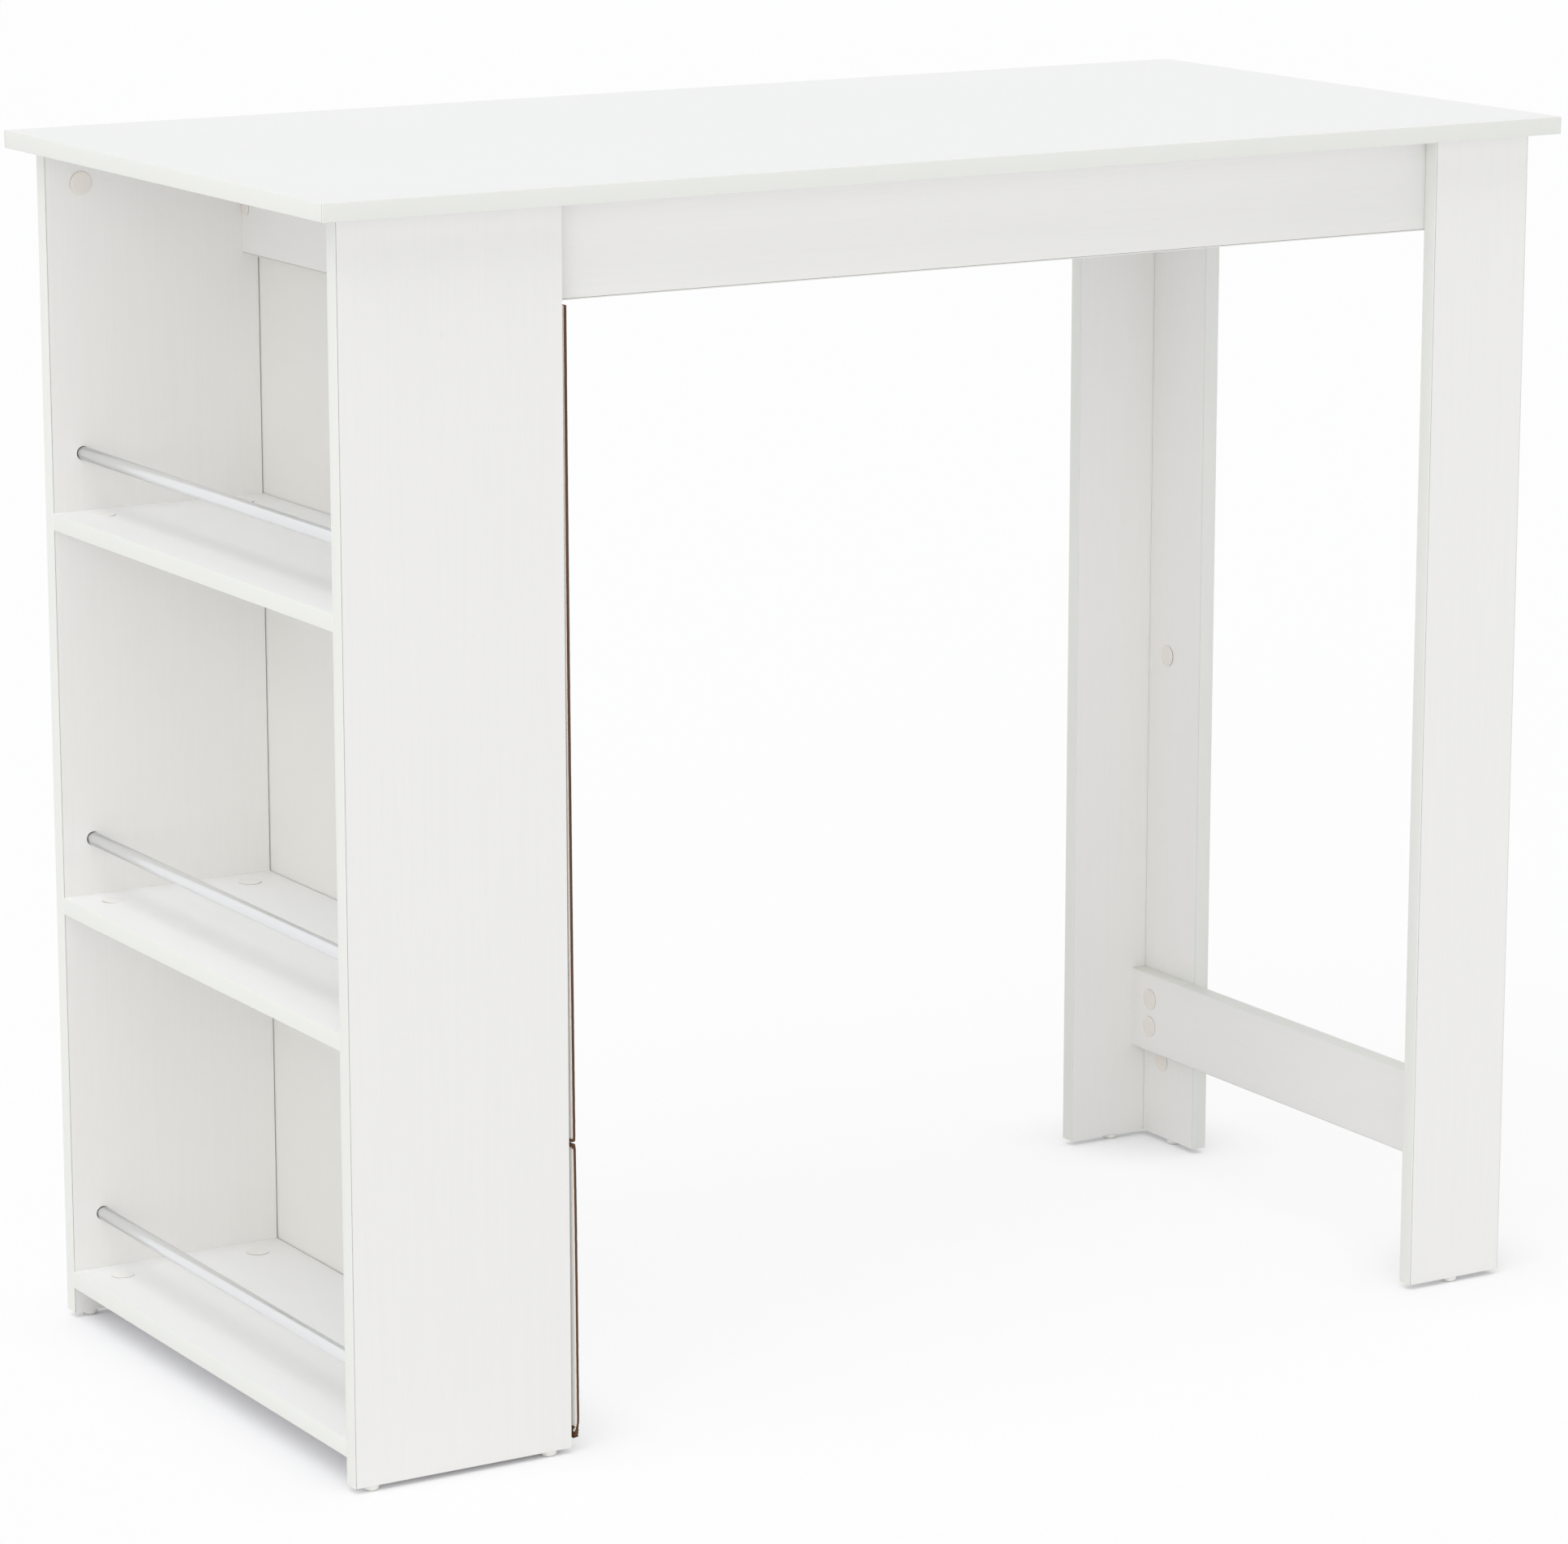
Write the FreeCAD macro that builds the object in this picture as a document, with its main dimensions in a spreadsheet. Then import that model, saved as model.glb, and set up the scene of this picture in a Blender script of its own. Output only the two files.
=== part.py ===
import FreeCAD, Part
import os
from types import SimpleNamespace

import Sketcher

# Bar table: a thin top on an open three-shelf unit at the left end and on two L-shaped legs at the right end.
# Millimetres. The origin is on the floor under the middle of the top, +X runs to the legs and +Y to the rear.

SIZES = {
    # The whole table
    "top_length": 1200,
    "top_width": 600,
    "table_height": 1050,
    "end_overhang": 20,
    "side_overhang": 20,
    # Boards and the strips on their open edges
    "board": 15,
    "edging": 1,
    "edging_round": 0.6,
    # Feet
    "foot_height": 5,
    "foot_diameter": 14,
    "foot_chamfer": 1.2,
    "foot_inset": 18,
    # Shelf unit: the lowest shelf's top face is measured from the floor
    "cabinet_depth": 200,
    "cabinet_rail_height": 100,
    "lowest_shelf": 43,
    "shelf_pitch": 340,
    # Back of the shelf unit: lift and joint are measured from the lower ends of the side panels
    "back_thickness": 3,
    "back_inset": 1,
    "back_lift": 6,
    "back_joint": 260,
    "back_gap": 1.5,
    "profile_height": 16,
    "profile_wall": 1,
    "profile_play": 0.5,
    # Metal rails in front of the shelves, loose in blind sockets
    "rail_diameter": 12,
    "rail_wall": 1,
    "rail_setback": 30,
    "rail_rise": 50,
    "rail_clearance": 1,
    "rail_settle": 0.2,
    "rail_end_play": 0.4,
    "socket_depth": 8,
    # Aprons, legs and stretcher: the stretcher's lower edge is measured from the floor
    "apron_height": 80,
    "leg_width": 100,
    "leg_return": 85,
    "stretcher_height": 78,
    "stretcher_low": 93,
    # Cam locks and their bolts
    "cam_diameter": 15,
    "cam_setback": 30,
    "cam_floor": 3,
    "cam_clearance": 0.2,
    "cam_bore": 7.4,
    "drive_length": 7,
    "drive_width": 1.4,
    "drive_depth": 2.4,
    "bolt_bore": 8,
    "bolt_thread": 6,
    "bolt_floor": 4,
    "bolt_head": 7,
    "bolt_head_length": 3.5,
    "bolt_neck": 4.6,
    "bolt_neck_length": 4.5,
    "bolt_clearance": 0.1,
    # Where the cam locks sit
    "shelf_cam_inset": 34,
    "rail_cam_drop": 38,
    "leg_cam_low": 76,
    "leg_cam_drop": 146,
    "stretcher_cam_pitch": 27,
    "end_apron_cam_spread": 200,
    # Dowels
    "dowel_diameter": 8,
    "dowel_length": 30,
    "dowel_floor": 4,
    "dowel_clearance": 0.2,
    "rail_dowel_drop": 82,
    "apron_dowel_inset": 230,
    # Long screws into the ends of the aprons
    "screw_head": 10,
    "screw_head_length": 4,
    "screw_shank": 7,
    "screw_thread": 5,
    "screw_length": 50,
    "screw_clearance": 0.2,
    "screw_drop_high": 16,
    "screw_drop_low": 60,
    # Caps over the fittings that show
    "cap_diameter": 20,
    "screw_cap_diameter": 13,
    "cap_thickness": 1,
    "cap_chamfer": 0.4,
}

LEFT, RIGHT = FreeCAD.Vector(-1, 0, 0), FreeCAD.Vector(1, 0, 0)
FRONT, REAR = FreeCAD.Vector(0, -1, 0), FreeCAD.Vector(0, 1, 0)
DOWN, UP = FreeCAD.Vector(0, 0, -1), FreeCAD.Vector(0, 0, 1)


class Size:
    """A length that carries both its number and the sheet expression that it comes from."""

    def __init__(self, value, text):
        self.value, self.text = value, text

    @staticmethod
    def of(other):
        return other if isinstance(other, Size) else Size(other, f"{other}")

    def __add__(self, other):
        other = Size.of(other)
        return Size(self.value + other.value, f"({self.text} + {other.text})")

    def __sub__(self, other):
        other = Size.of(other)
        return Size(self.value - other.value, f"({self.text} - {other.text})")

    def __mul__(self, factor):
        return Size(self.value * factor, f"({self.text} * {factor})")

    def __truediv__(self, divisor):
        return Size(self.value / divisor, f"({self.text} / {divisor})")

    def __neg__(self):
        return self * -1


doc = FreeCAD.newDocument("bar_table")
sheet = doc.addObject("Spreadsheet::Sheet", "sizes")
size = SimpleNamespace()
for row, (alias, number) in enumerate(SIZES.items(), 1):
    sheet.set(f"A{row}", alias)
    sheet.set(f"B{row}", f"{number}")
    sheet.setAlias(f"B{row}", alias)
    setattr(size, alias, Size(number, f"sizes.{alias}"))
doc.recompute()

nodes = []
groups = {}


# Shapes


def moved(point, direction, distance):
    """The point shifted along one of the six directions."""
    return tuple(p + distance * int(d) if d else p for p, d in zip(point, direction))


def place(thing, point, rotation=FreeCAD.Rotation()):
    """Turn a thing and bind its place to the sheet."""
    thing.Placement = FreeCAD.Placement(FreeCAD.Vector(), rotation)
    for axis, coordinate in zip("xyz", point):
        thing.setExpression(f"Placement.Base.{axis}", Size.of(coordinate).text)


def block(name, low, high):
    """A box between two corners."""
    box = doc.addObject("Part::Box", name)
    for side, start, end in zip(("Length", "Width", "Height"), low, high):
        box.setExpression(side, (end - start).text)
    place(box, low)
    return box


def rod(name, point, direction, diameter, length):
    """A cylinder that starts at a point and runs along a direction."""
    cylinder = doc.addObject("Part::Cylinder", name)
    cylinder.setExpression("Radius", (diameter / 2).text)
    cylinder.setExpression("Height", length.text)
    place(cylinder, point, FreeCAD.Rotation(UP, direction))
    return cylinder


def cut(name, base, tools):
    """The base less its tools, which are fused first because bores may cross."""
    tool = tools[0]
    if len(tools) > 1:
        tool = doc.addObject("Part::MultiFuse", f"{name}_tools")
        tool.Shapes = tools
    result = doc.addObject("Part::Cut", name)
    result.Base = base
    result.Tool = tool
    return result


def outline(body, role, corners):
    """A closed outline on one of the body's own planes, with each corner's two distances bound."""
    sketch = body.newObject("Sketcher::SketchObject", f"{body.Name}_outline")
    plane = next(feature for feature in body.Origin.OriginFeatures if feature.Role == role)
    sketch.AttachmentSupport = (plane, [""])
    sketch.MapMode = "FlatFace"
    corners = [(Size.of(x), Size.of(y)) for x, y in corners]
    points = [FreeCAD.Vector(x.value, y.value, 0) for x, y in corners]
    for start, end in zip(points, points[1:] + points[:1]):
        sketch.addGeometry(Part.LineSegment(start, end))
    for line, corner in enumerate(corners):
        sketch.addConstraint(Sketcher.Constraint("Coincident", (line - 1) % len(corners), 2, line, 1))
        for kind, axis, distance in zip(("DistanceX", "DistanceY"), (-2, -1), corner):
            if distance.value == 0:
                sketch.addConstraint(Sketcher.Constraint("PointOnObject", line, 1, axis))
            else:
                constraint = Sketcher.Constraint(kind, -1, 1, line, 1, distance.value)
                sketch.setExpression(f"Constraints[{sketch.addConstraint(constraint)}]", distance.text)
    return sketch


def turned(name, corners):
    """A piece turned about +Z from an outline of radius and height."""
    body = doc.addObject("PartDesign::Body", name)
    revolution = body.newObject("PartDesign::Revolution", f"{name}_revolution")
    revolution.Profile = outline(body, "XZ_Plane", corners)
    revolution.ReferenceAxis = (revolution.Profile[0], ["V_Axis"])
    revolution.Angle = 360
    return body


def extruded(name, corners, length):
    """A piece of constant section that runs up +Z."""
    body = doc.addObject("PartDesign::Body", name)
    pad = body.newObject("PartDesign::Pad", f"{name}_pad")
    pad.Profile = outline(body, "XY_Plane", corners)
    pad.setExpression("Length", length.text)
    return body


def copy_of(original, group, point, axis, side=None):
    """One more of a repeated piece: its +Z along axis and, where it matters, its +X along side."""
    links = groups.setdefault(group, [])
    link = doc.addObject("App::Link", f"{group}_{len(links) + 1}")
    link.LinkedObject = original
    turn = FreeCAD.Rotation(side, FreeCAD.Vector(), axis, "ZXY") if side else FreeCAD.Rotation(UP, axis)
    place(link, point, turn)
    links.append(link)


class Board:
    """A board between two corners, and the holes drilled into it."""

    def __init__(self, name, low, high):
        self.name, self.low, self.high = name, low, high
        self.holes = []

    def drill(self, point, direction, diameter, depth):
        name = f"{self.name}_hole_{len(self.holes) + 1}"
        self.holes.append(rod(name, point, direction, diameter, depth))

    def finish(self):
        nodes.append(cut(self.name, block(f"{self.name}_blank", self.low, self.high), self.holes))


def edge_strip(group, low, high, outward):
    """An edging strip between two corners, rounded along its two outer long edges."""
    free = [axis for axis in range(3) if not outward[axis]]
    run = max(free, key=lambda axis: (high[axis] - low[axis]).value)
    width = next(axis for axis in free if axis != run)
    along = FreeCAD.Vector(*(1 if axis == run else 0 for axis in range(3)))
    reach = along + outward.cross(along) + outward
    start = tuple(near if sign > 0 else far for near, far, sign in zip(low, high, reach))
    long_side, short_side = high[run] - low[run], high[width] - low[width]
    strips = groups.setdefault(group, [])
    corners = [(0, 0), (long_side, 0), (long_side, short_side), (0, short_side)]
    body = extruded(f"{group}_{len(strips) + 1}", corners, size.edging)
    doc.recompute()
    pad = body.Tip
    top_edges = [(f"Edge{index}", edge) for index, edge in enumerate(pad.Shape.Edges, 1)
                 if edge.BoundBox.ZMin > size.edging.value / 2 and edge.BoundBox.YLength < size.edging.value / 2]
    fillet = body.newObject("PartDesign::Fillet", f"{body.Name}_round")
    fillet.Base = (pad, [name for name, _ in top_edges])
    fillet.setExpression("Radius", f"min({size.edging_round.text}; 0.8 * {size.edging.text})")
    place(body, start, FreeCAD.Rotation(along, FreeCAD.Vector(), outward, "ZXY"))
    strips.append(body)


# Where things are

half_length = size.top_length / 2
half_width = size.top_width / 2
left = size.end_overhang - half_length
right = half_length - size.end_overhang
back = left + size.cabinet_depth
outer = half_width - size.side_overhang
inner = outer - size.board
panel_middle = outer - size.board / 2
apron_middle = inner - size.board / 2
under_top = size.table_height - size.board
rail_middle = back - size.board / 2
stretcher_face = right - size.board * 2
stretcher_back = right - size.board
stretcher_middle = right - size.board * 1.5
leg_side_middle = right - size.board / 2
leg_left = right - size.leg_width
leg_middle = right - size.leg_width / 2
back_joint = size.foot_height + size.back_joint
apron_bottom = under_top - size.apron_height
back_top = apron_bottom - size.back_gap
shelf_tops = {name: size.lowest_shelf + size.shelf_pitch * level
              for level, name in enumerate(("lower", "middle", "upper"))}
cabinet_middle = left + size.cabinet_depth / 2
cam_columns = (left + size.shelf_cam_inset, back - size.shelf_cam_inset)
sides = {"front": (-1, FRONT), "rear": (1, REAR)}


def across(sign, near, far):
    """The low and high Y of what lies between two distances from the middle, on one side of the table."""
    return (near, far) if sign > 0 else (-far, -near)


# Fittings

cam_depth = size.board - size.cam_floor
cam_height = cam_depth - size.cam_clearance
bolt_grip = size.board - size.bolt_floor
bolt_length = size.cam_setback + bolt_grip
bolt_hole = size.bolt_thread + size.bolt_clearance
dowel_grip = size.board - size.dowel_floor
dowel_hole = size.dowel_diameter + size.dowel_clearance
origin = (Size.of(0), Size.of(0), Size.of(0))


def make_cam():
    """A round lock with a slot for the driver on top and a bore that takes the bolt's head from one side."""
    bolt_height = cam_height - size.board / 2
    barrel = rod("cam_barrel", origin, UP, size.cam_diameter - size.cam_clearance, cam_height)
    mouth_start = (-size.bolt_clearance, Size.of(0), bolt_height)
    mouth = rod("cam_mouth", mouth_start, RIGHT, size.cam_bore, size.cam_diameter)
    slot_low = (-size.drive_length / 2, -size.drive_width / 2, cam_height - size.drive_depth)
    slot_high = (size.drive_length / 2, size.drive_width / 2, cam_height)
    return cut("cam", barrel, [mouth, block("cam_slot", slot_low, slot_high)])


def make_bolt():
    """A bolt with a headed neck for the cam, from the head's end up to the tip of its thread."""
    head, neck, thread = size.bolt_head / 2, size.bolt_neck / 2, size.bolt_thread / 2
    neck_end = size.bolt_head_length + size.bolt_neck_length
    return turned("bolt", [
        (0, 0), (head, 0), (head, size.bolt_head_length), (neck, size.bolt_head_length),
        (neck, neck_end), (thread, neck_end), (thread, bolt_length), (0, bolt_length)])


def make_screw():
    """A long screw: head and plain shank inside the drilled board, thread in the apron's end."""
    head, shank, thread = size.screw_head / 2, size.screw_shank / 2, size.screw_thread / 2
    return turned("screw", [
        (0, 0), (head, 0), (head, size.screw_head_length), (shank, size.screw_head_length),
        (shank, size.board), (thread, size.board), (thread, size.screw_length), (0, size.screw_length)])


def make_cap(name, diameter):
    """A flat cap with a chamfered rim."""
    rim, shoulder = diameter / 2, size.cap_thickness - size.cap_chamfer
    return turned(name, [
        (0, 0), (rim, 0), (rim, shoulder), (rim - size.cap_chamfer, size.cap_thickness), (0, size.cap_thickness)])


def make_foot():
    """A round glide with a chamfered lower rim."""
    rim = size.foot_diameter / 2
    return turned("foot", [
        (0, 0), (rim - size.foot_chamfer, 0), (rim, size.foot_chamfer), (rim, size.foot_height), (0, size.foot_height)])


cam, bolt, screw, foot = make_cam(), make_bolt(), make_screw(), make_foot()
cap = make_cap("cap", size.cap_diameter)
screw_cap = make_cap("small_cap", size.screw_cap_diameter)
dowel = rod("dowel", origin, UP, size.dowel_diameter, size.dowel_length)


def join_with_cam(carrier, receiver, point, into, face, capped=True):
    """A bolt in the receiver, pulled by a cam that is let into one face of the carrier."""
    seat = moved(moved(point, into, -size.cam_setback), face, size.board / 2)
    carrier.drill(point, -into, size.bolt_bore, size.cam_setback)
    carrier.drill(seat, -face, size.cam_diameter, cam_depth)
    receiver.drill(point, into, bolt_hole, bolt_grip + size.bolt_clearance)
    copy_of(cam, "cam_locks", moved(seat, face, -cam_height), face, into)
    copy_of(bolt, "cam_bolts", moved(point, into, -size.cam_setback), into)
    if capped:
        copy_of(cap, "cover_caps", seat, face)


def join_with_dowel(carrier, receiver, point, into):
    """A dowel along into, in the carrier's edge and the receiver's face."""
    tail = size.dowel_length - dowel_grip
    carrier.drill(point, -into, dowel_hole, tail + size.dowel_clearance)
    receiver.drill(point, into, dowel_hole, dowel_grip + size.dowel_clearance)
    copy_of(dowel, "dowels", moved(point, into, -tail), into)


def join_with_screw(plate, receiver, point, into, capped=False):
    """A screw whose head is let into the plate at the point, and whose thread is in the receiver's end."""
    meeting = moved(point, into, size.board)
    plate.drill(point, into, size.screw_head + size.screw_clearance, size.screw_head_length)
    plate.drill(point, into, size.screw_shank + size.screw_clearance, size.board)
    receiver.drill(meeting, into, size.screw_thread + size.screw_clearance, size.screw_length - size.board)
    copy_of(screw, "apron_screws", point, into)
    if capped:
        copy_of(screw_cap, "screw_caps", point, -into)


# Boards

tabletop = Board("tabletop",
                 (size.edging - half_length, size.edging - half_width, under_top),
                 (half_length - size.edging, half_width - size.edging, size.table_height))
panels, aprons, face_boards, side_boards = {}, {}, {}, {}
for side, (sign, out) in sides.items():
    panel_low, panel_high = across(sign, inner, outer)
    apron_low, apron_high = across(sign, inner - size.board, inner)
    return_low, return_high = across(sign, inner - size.leg_return + size.edging, inner)
    panels[side] = Board(f"{side}_side_panel",
                         (left + size.edging, panel_low, size.foot_height),
                         (back, panel_high, under_top))
    aprons[side] = Board(f"{side}_apron",
                         (back, apron_low, apron_bottom + size.edging),
                         (stretcher_face, apron_high, under_top))
    face_boards[side] = Board(f"{side}_leg_face_board",
                              (leg_left + size.edging, panel_low, size.foot_height),
                              (right - size.edging, panel_high, under_top))
    side_boards[side] = Board(f"{side}_leg_side_board",
                              (stretcher_back, return_low, size.foot_height),
                              (right, return_high, under_top))
shelves = {name: Board(f"{name}_shelf",
                       (left + size.edging, -inner, top - size.board),
                       (back, inner, top))
           for name, top in shelf_tops.items()}
cabinet_rail = Board("cabinet_rail",
                     (back - size.board, -inner, under_top - size.cabinet_rail_height + size.edging),
                     (back, inner, under_top))
end_apron = Board("end_apron",
                  (stretcher_face, -inner, apron_bottom + size.edging),
                  (stretcher_back, inner, under_top))
stretcher = Board("leg_stretcher",
                  (stretcher_face, -inner, size.stretcher_low + size.edging),
                  (stretcher_back, inner, size.stretcher_low + size.stretcher_height - size.edging))

# Joints between the boards

for side, (sign, out) in sides.items():
    panel, apron, face_board, side_board = panels[side], aprons[side], face_boards[side], side_boards[side]
    meeting = inner * sign
    panel_line = panel_middle * sign
    apron_line = apron_middle * sign
    for name, shelf in shelves.items():
        shelf_middle = shelf_tops[name] - size.board / 2
        for column in cam_columns:
            join_with_cam(shelf, panel, (column, meeting, shelf_middle), out, UP)
        join_with_dowel(shelf, panel, (cabinet_middle, meeting, shelf_middle), out)
    for column in cam_columns:
        join_with_cam(panel, tabletop, (column, panel_line, under_top), UP, -out)
    join_with_dowel(panel, tabletop, (cabinet_middle, panel_line, under_top), UP)
    join_with_cam(cabinet_rail, panel, (rail_middle, meeting, under_top - size.rail_cam_drop), out, LEFT)
    join_with_dowel(cabinet_rail, panel, (rail_middle, meeting, under_top - size.rail_dowel_drop), out)
    for drop in (size.screw_drop_high, size.screw_drop_low):
        level = under_top - drop
        join_with_screw(cabinet_rail, apron, (back - size.board, apron_line, level), RIGHT, capped=True)
        join_with_screw(end_apron, apron, (stretcher_back, apron_line, level), LEFT)
    for column in (back + size.apron_dowel_inset, stretcher_face - size.apron_dowel_inset):
        join_with_dowel(apron, tabletop, (column, apron_line, under_top), UP)
    join_with_dowel(end_apron, face_board, (stretcher_middle, meeting, under_top - size.rail_cam_drop), out)
    end_cam = size.end_apron_cam_spread / 2 * sign
    join_with_cam(end_apron, tabletop, (stretcher_middle, end_cam, under_top), UP, LEFT, capped=False)
    lowest_cam, highest_cam = size.foot_height + size.leg_cam_low, under_top - size.leg_cam_drop
    leg_cams = [lowest_cam, (lowest_cam + highest_cam) / 2, highest_cam]
    for level in leg_cams:
        join_with_cam(side_board, face_board, (leg_side_middle, meeting, level), out, LEFT)
    for below, above in zip(leg_cams, leg_cams[1:]):
        between = (below + above) / 2
        join_with_dowel(side_board, face_board, (leg_side_middle, meeting, between), out)
    join_with_dowel(face_board, tabletop, (leg_middle, panel_line, under_top), UP)
    stretcher_centre = size.stretcher_low + size.stretcher_height / 2
    for step in (-1, 1):
        level = stretcher_centre + size.stretcher_cam_pitch / 2 * step
        join_with_cam(stretcher, face_board, (stretcher_middle, meeting, level), out, LEFT)

# Metal rails in their sockets

for name, top in shelf_tops.items():
    level = top + size.rail_rise
    column = left + size.rail_setback
    for side, (sign, out) in sides.items():
        socket = size.rail_diameter + size.rail_clearance
        panels[side].drill((column, inner * sign, level), out, socket, size.socket_depth)
    reach = inner + size.socket_depth - size.rail_end_play
    start = (column, -reach, level - size.rail_settle)
    tube = rod(f"{name}_rail_tube", start, REAR, size.rail_diameter, reach * 2)
    bore = rod(f"{name}_rail_bore", start, REAR, size.rail_diameter - size.rail_wall * 2, reach * 2)
    nodes.append(cut(f"{name}_shelf_rail", tube, [bore]))

# Back of the shelf unit

leaf_side = outer - size.back_inset
leaf_outside = back + size.back_thickness
nodes.append(block("lower_back_panel",
                   (back, -leaf_side, size.foot_height + size.back_lift),
                   (leaf_outside, leaf_side, back_joint - size.back_gap / 2)))
nodes.append(block("upper_back_panel",
                   (back, -leaf_side, back_joint + size.back_gap / 2),
                   (leaf_outside, leaf_side, back_top)))


def make_back_profile():
    """A strip of H section that holds the facing edges of the two leaves in line, between the side panels."""
    wall, tall = size.profile_wall, size.profile_height
    slot_end = wall + size.back_thickness
    web_low, web_high = tall / 2 - wall / 2, tall / 2 + wall / 2
    wide = slot_end + wall
    reach = inner - size.profile_play
    profile = extruded("back_joint_profile", [
        (0, 0), (wall, 0), (wall, web_low), (slot_end, web_low), (slot_end, 0), (wide, 0),
        (wide, tall), (slot_end, tall), (slot_end, web_high), (wall, web_high), (wall, tall), (0, tall)],
        reach * 2)
    place(profile, (back - wall, reach, back_joint - tall / 2), FreeCAD.Rotation(RIGHT, UP, FRONT, "XYZ"))
    return profile


nodes.append(make_back_profile())

# Edging on the open edges

for sign, out in sides.values():
    strip_low, strip_high = across(sign, half_width - size.edging, half_width)
    edge_strip("tabletop_edging",
               (-half_length, strip_low, under_top), (half_length, strip_high, size.table_height), out)
for out, edge_low, edge_high in ((LEFT, -half_length, size.edging - half_length),
                                 (RIGHT, half_length - size.edging, half_length)):
    edge_strip("tabletop_edging",
               (edge_low, size.edging - half_width, under_top),
               (edge_high, half_width - size.edging, size.table_height), out)
for sign, out in sides.values():
    panel_low, panel_high = across(sign, inner, outer)
    apron_low, apron_high = across(sign, inner - size.board, inner)
    free_low, free_high = across(sign, inner - size.leg_return, inner - size.leg_return + size.edging)
    edge_strip("side_panel_edging",
               (left, panel_low, size.foot_height), (left + size.edging, panel_high, under_top), LEFT)
    edge_strip("leg_edging",
               (leg_left, panel_low, size.foot_height), (leg_left + size.edging, panel_high, under_top), LEFT)
    edge_strip("leg_edging",
               (right - size.edging, panel_low, size.foot_height), (right, panel_high, under_top), RIGHT)
    edge_strip("leg_edging",
               (stretcher_back, free_low, size.foot_height), (right, free_high, under_top), -out)
    edge_strip("apron_edging",
               (back, apron_low, apron_bottom), (stretcher_face, apron_high, apron_bottom + size.edging), DOWN)
edge_strip("apron_edging",
           (stretcher_face, -inner, apron_bottom), (stretcher_back, inner, apron_bottom + size.edging), DOWN)
for top in shelf_tops.values():
    edge_strip("shelf_edging",
               (left, -inner, top - size.board), (left + size.edging, inner, top), LEFT)
rail_bottom = under_top - size.cabinet_rail_height
edge_strip("cabinet_rail_edging",
           (back - size.board, -inner, rail_bottom), (back, inner, rail_bottom + size.edging), DOWN)
stretcher_top = size.stretcher_low + size.stretcher_height
edge_strip("stretcher_edging",
           (stretcher_face, -inner, size.stretcher_low),
           (stretcher_back, inner, size.stretcher_low + size.edging), DOWN)
edge_strip("stretcher_edging",
           (stretcher_face, -inner, stretcher_top - size.edging), (stretcher_back, inner, stretcher_top), UP)

# Feet: two under each side panel, one under the middle of each leg board

floor = Size.of(0)
for sign, out in sides.values():
    for column in (left + size.foot_inset, back - size.foot_inset):
        copy_of(foot, "cabinet_feet", (column, panel_middle * sign, floor), UP)
    copy_of(foot, "leg_feet", (leg_middle, panel_middle * sign, floor), UP)
    copy_of(foot, "leg_feet", (leg_side_middle, (inner - size.leg_return / 2) * sign, floor), UP)

# Every board and group, checked and written

for board in (tabletop, *panels.values(), *shelves.values(), cabinet_rail, *aprons.values(), end_apron,
              *face_boards.values(), *side_boards.values(), stretcher):
    board.finish()
for group, members in groups.items():
    compound = doc.addObject("Part::Compound", group)
    compound.Links = members
    nodes.append(compound)
doc.recompute()

failed = [thing.Name for thing in doc.Objects if {"Invalid", "Error"} & set(thing.State)]
failed += [node.Label for node in nodes if node.Shape.isNull() or not node.Shape.isValid()]
if failed:
    raise RuntimeError(f"not built: {', '.join(failed)}")
os.makedirs("parts", exist_ok=True)
for node in nodes:
    node.Shape.exportStep(f"parts/{node.Label}.step")
    print(f"{node.Label}: {len(node.Shape.Solids)} solids, {node.Shape.Volume:.0f} cubic mm")
print(f"{len(nodes)} nodes")
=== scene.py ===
import math
from contextlib import contextmanager

import bpy
from bpy.props import FloatProperty, FloatVectorProperty, PointerProperty
from mathutils import Matrix, Vector, noise


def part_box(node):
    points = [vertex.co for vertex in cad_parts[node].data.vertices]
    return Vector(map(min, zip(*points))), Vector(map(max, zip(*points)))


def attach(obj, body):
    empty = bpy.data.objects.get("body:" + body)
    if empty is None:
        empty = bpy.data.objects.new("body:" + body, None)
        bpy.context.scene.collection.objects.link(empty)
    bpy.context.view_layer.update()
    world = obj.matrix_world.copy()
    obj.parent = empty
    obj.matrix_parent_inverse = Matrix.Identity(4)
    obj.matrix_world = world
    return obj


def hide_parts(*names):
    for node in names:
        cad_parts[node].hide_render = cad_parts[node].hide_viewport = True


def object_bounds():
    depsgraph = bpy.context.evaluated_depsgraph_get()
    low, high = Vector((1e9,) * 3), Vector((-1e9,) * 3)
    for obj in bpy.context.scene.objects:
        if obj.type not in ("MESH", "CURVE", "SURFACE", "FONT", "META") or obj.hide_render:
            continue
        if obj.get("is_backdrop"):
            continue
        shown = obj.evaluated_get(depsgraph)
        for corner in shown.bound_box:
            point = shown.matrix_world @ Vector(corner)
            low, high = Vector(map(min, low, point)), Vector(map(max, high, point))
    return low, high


bl_info = {
    "name": "Bar Table",
    "version": (1, 0, 0),
    "blender": (4, 5, 0),
    "location": "3D View > Sidebar > Bar Table",
    "description": "Dresses the solids of a white bar table with shelves, and sets its studio",
    "category": "Object",
}

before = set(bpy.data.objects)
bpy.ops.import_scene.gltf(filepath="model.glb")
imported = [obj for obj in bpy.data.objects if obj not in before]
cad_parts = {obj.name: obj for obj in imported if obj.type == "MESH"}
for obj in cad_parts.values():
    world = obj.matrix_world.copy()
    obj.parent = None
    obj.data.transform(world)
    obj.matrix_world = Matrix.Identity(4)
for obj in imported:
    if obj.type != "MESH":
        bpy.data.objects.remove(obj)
cad_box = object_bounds()

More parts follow.
